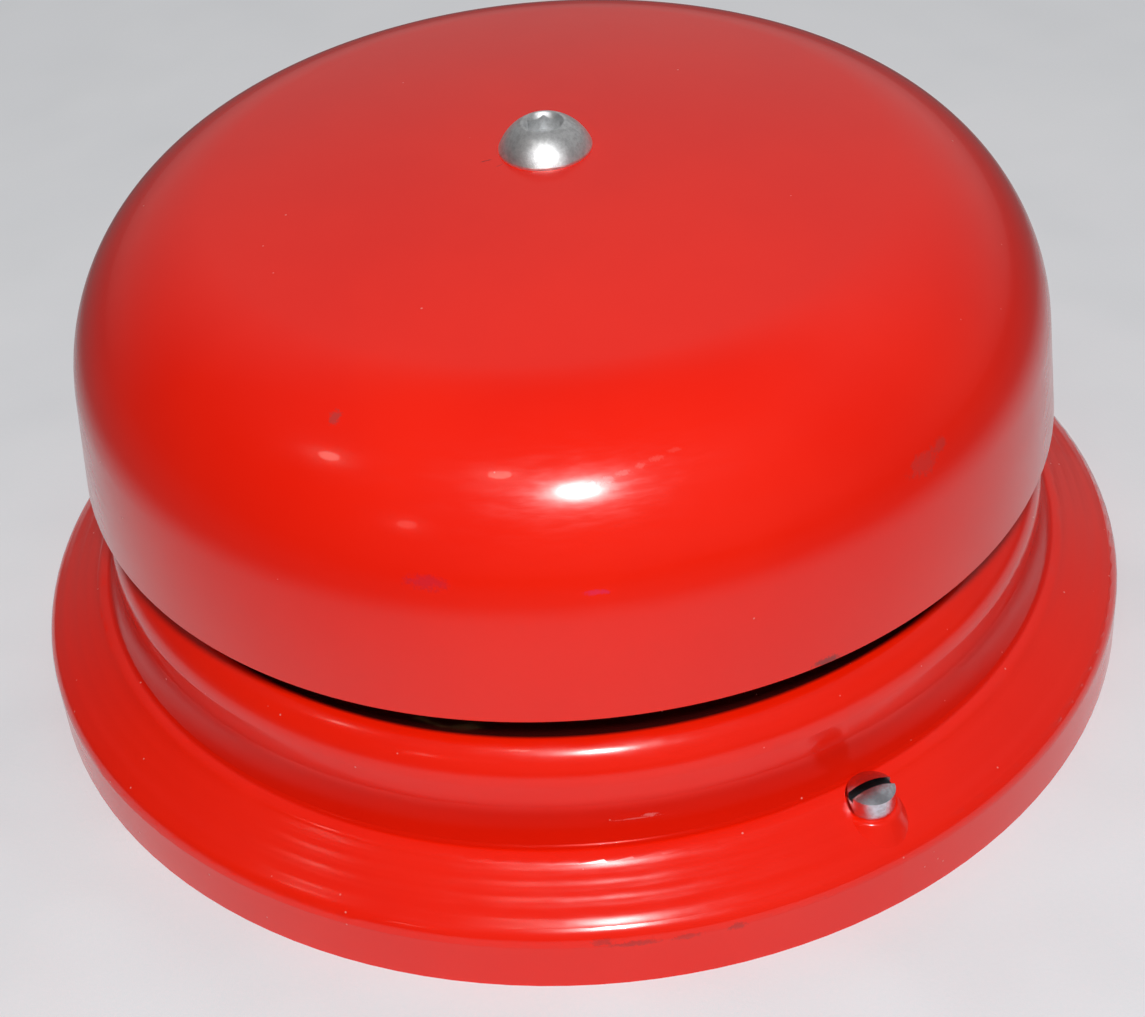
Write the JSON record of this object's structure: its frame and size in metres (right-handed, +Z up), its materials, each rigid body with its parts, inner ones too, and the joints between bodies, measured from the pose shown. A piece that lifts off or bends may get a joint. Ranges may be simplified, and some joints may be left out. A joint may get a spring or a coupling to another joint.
{
  "type": "electric bell",
  "caption": "Round electric alarm bell: a deep domed gong over a drawn base housing, with an electromagnet, a pivoted armature and a striker inside the gong.",
  "frame": {"origin": "centre of the base's open rim, in the plane that it stands on", "axes": "+Z up along the gong's axis; the two cover screws lie on the X axis, one at +X and one at -X"},
  "size_m": [0.176, 0.176, 0.0882],
  "materials": {
    "red_enamel": "gloss stoving enamel, slight orange peel",
    "bright_zinc": "bright zinc plate, faintly blue",
    "screw_zinc": "zinc plate",
    "zinc_sheet": "zinc plated sheet",
    "soft_iron": "plain soft iron, lightly oiled",
    "steel": "bright drawn steel",
    "brass": "turned brass",
    "spring_bronze": "rolled phosphor bronze",
    "silver": "silver contact face",
    "copper_winding": "enamelled copper wire",
    "bobbin_plastic": "black moulding",
    "moulding": "brown phenolic moulding",
    "fibre": "vulcanised fibre",
    "rubber": "black rubber",
    "lead_black": "black insulation"
  },
  "bodies": {
    "base": {"back_plate": "zinc_sheet", "base_housing": "red_enamel", "coil_bobbin_far": "bobbin_plastic", "coil_bobbin_near": "bobbin_plastic", "coil_link": "copper_winding", "coil_winding_far": "copper_winding", "coil_winding_near": "copper_winding", "contact_block": "moulding", "contact_block_screws": "screw_zinc", "contact_bracket": "brass", "contact_bracket_screws": "screw_zinc", "contact_locknut": "brass", "contact_screw": "brass", "core_screws": "screw_zinc", "cover_screws": "screw_zinc", "frame_screws": "screw_zinc", "gong": "red_enamel", "gong_post": "zinc_sheet", "gong_screw": "bright_zinc", "gong_washer": "fibre", "lead_contact": "lead_black", "lead_frame": "copper_winding", "lead_grommet": "rubber", "lead_supply": "lead_black", "magnet_frame": "soft_iron", "pivot_bracket": "zinc_sheet", "pivot_clip": "steel", "pivot_pin": "steel", "plate_standoffs": "zinc_sheet", "pole_core_far": "soft_iron", "pole_core_near": "soft_iron", "post_lock_washer": "screw_zinc", "post_nut": "screw_zinc", "return_spring": "steel", "spring_anchor": "brass", "terminal_block": "moulding", "terminal_block_screws": "screw_zinc", "terminal_plates": "brass", "terminal_screws": "screw_zinc"},
    "armature": {"armature": "soft_iron", "hammer_rod": "steel", "striker": "brass", "contact_spring": "spring_bronze", "spring_rivets": "brass", "moving_contact": "silver"}
  },
  "joints": [
    {"name": "armature_swing", "type": "hinge", "parent": "base", "child": "armature", "pos_m": [-0.038, -0.046, 0.0453], "axis": [0, 0, -1], "range_deg": [0, 3], "stiffness_Nm_per_rad": 0.03, "springref_deg": -2.86, "deforming": ["return_spring"]}
  ]
}
